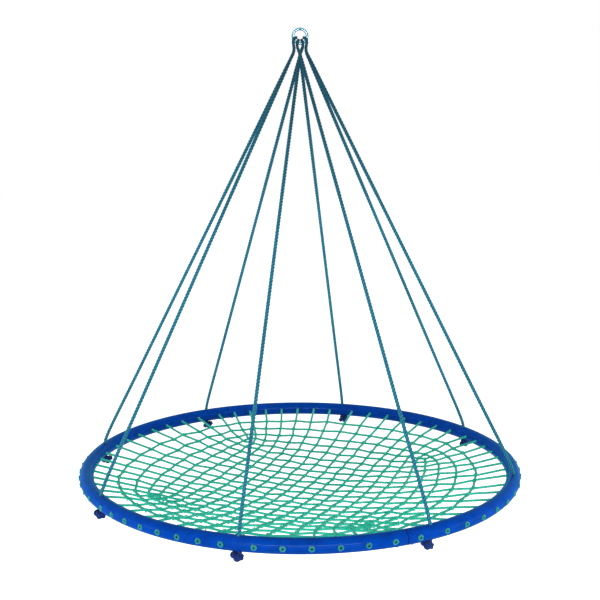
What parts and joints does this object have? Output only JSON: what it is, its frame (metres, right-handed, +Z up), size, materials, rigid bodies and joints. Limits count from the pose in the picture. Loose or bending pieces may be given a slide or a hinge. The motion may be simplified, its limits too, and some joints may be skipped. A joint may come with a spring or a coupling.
{
  "type": "saucer nest swing",
  "caption": "Round nest swing: a laced cord net inside a tubular ring frame, hung by folded ropes from one steel ring, and free to swing and sway.",
  "frame": {"origin": "inside top of the steel hanging ring, where a hook or shackle bears", "axes": "+Z up along the line of hang; the steel ring lies in the XZ plane, so X is across the ring and -Y is the front"},
  "size_m": [1.204, 1.2037, 1.2539],
  "materials": {
    "ring_steel": "polished, lightly scuffed",
    "frame_paint": "glossy blue powder coat",
    "rope_fibre": "three-strand laid polypropylene rope",
    "knot_fibre": "same rope pulled tight into a knot, darker",
    "net_fibre": "twisted polypropylene cord",
    "sleeve_steel": "zinc plated",
    "screw_steel": "zinc plated"
  },
  "bodies": {
    "ring": {"hanging_ring": "ring_steel"},
    "folds": {"rope_fold_left": "rope_fibre", "rope_fold_mid_left": "rope_fibre", "rope_fold_mid_right": "rope_fibre", "rope_fold_right": "rope_fibre"},
    "basket": {"rope_leg_left_front": "rope_fibre", "rope_leg_left_back": "rope_fibre", "rope_leg_mid_left_front": "rope_fibre", "rope_leg_mid_left_back": "rope_fibre", "rope_leg_mid_right_front": "rope_fibre", "rope_leg_mid_right_back": "rope_fibre", "rope_leg_right_front": "rope_fibre", "rope_leg_right_back": "rope_fibre", "stopper_knot_left_front": "knot_fibre", "stopper_knot_left_back": "knot_fibre", "stopper_knot_mid_left_front": "knot_fibre", "stopper_knot_mid_left_back": "knot_fibre", "stopper_knot_mid_right_front": "knot_fibre", "stopper_knot_mid_right_back": "knot_fibre", "stopper_knot_right_front": "knot_fibre", "stopper_knot_right_back": "knot_fibre", "frame_half_left": "frame_paint", "frame_half_right": "frame_paint", "joint_sleeve_front": "sleeve_steel", "joint_sleeve_back": "sleeve_steel", "joint_screw_1": "screw_steel", "joint_screw_2": "screw_steel", "joint_screw_3": "screw_steel", "joint_screw_4": "screw_steel", "net": "net_fibre"}
  },
  "joints": [
    {"name": "sway_sideways", "type": "hinge", "parent": "ring", "child": "folds", "pos_m": [0, 0, -0.015], "axis": [0, 1, 0], "range_deg": [-45, 45]},
    {"name": "swing_fore_aft", "type": "hinge", "parent": "folds", "child": "basket", "pos_m": [0, 0, -0.0335], "axis": [1, 0, 0], "range_deg": [-45, 45]}
  ]
}
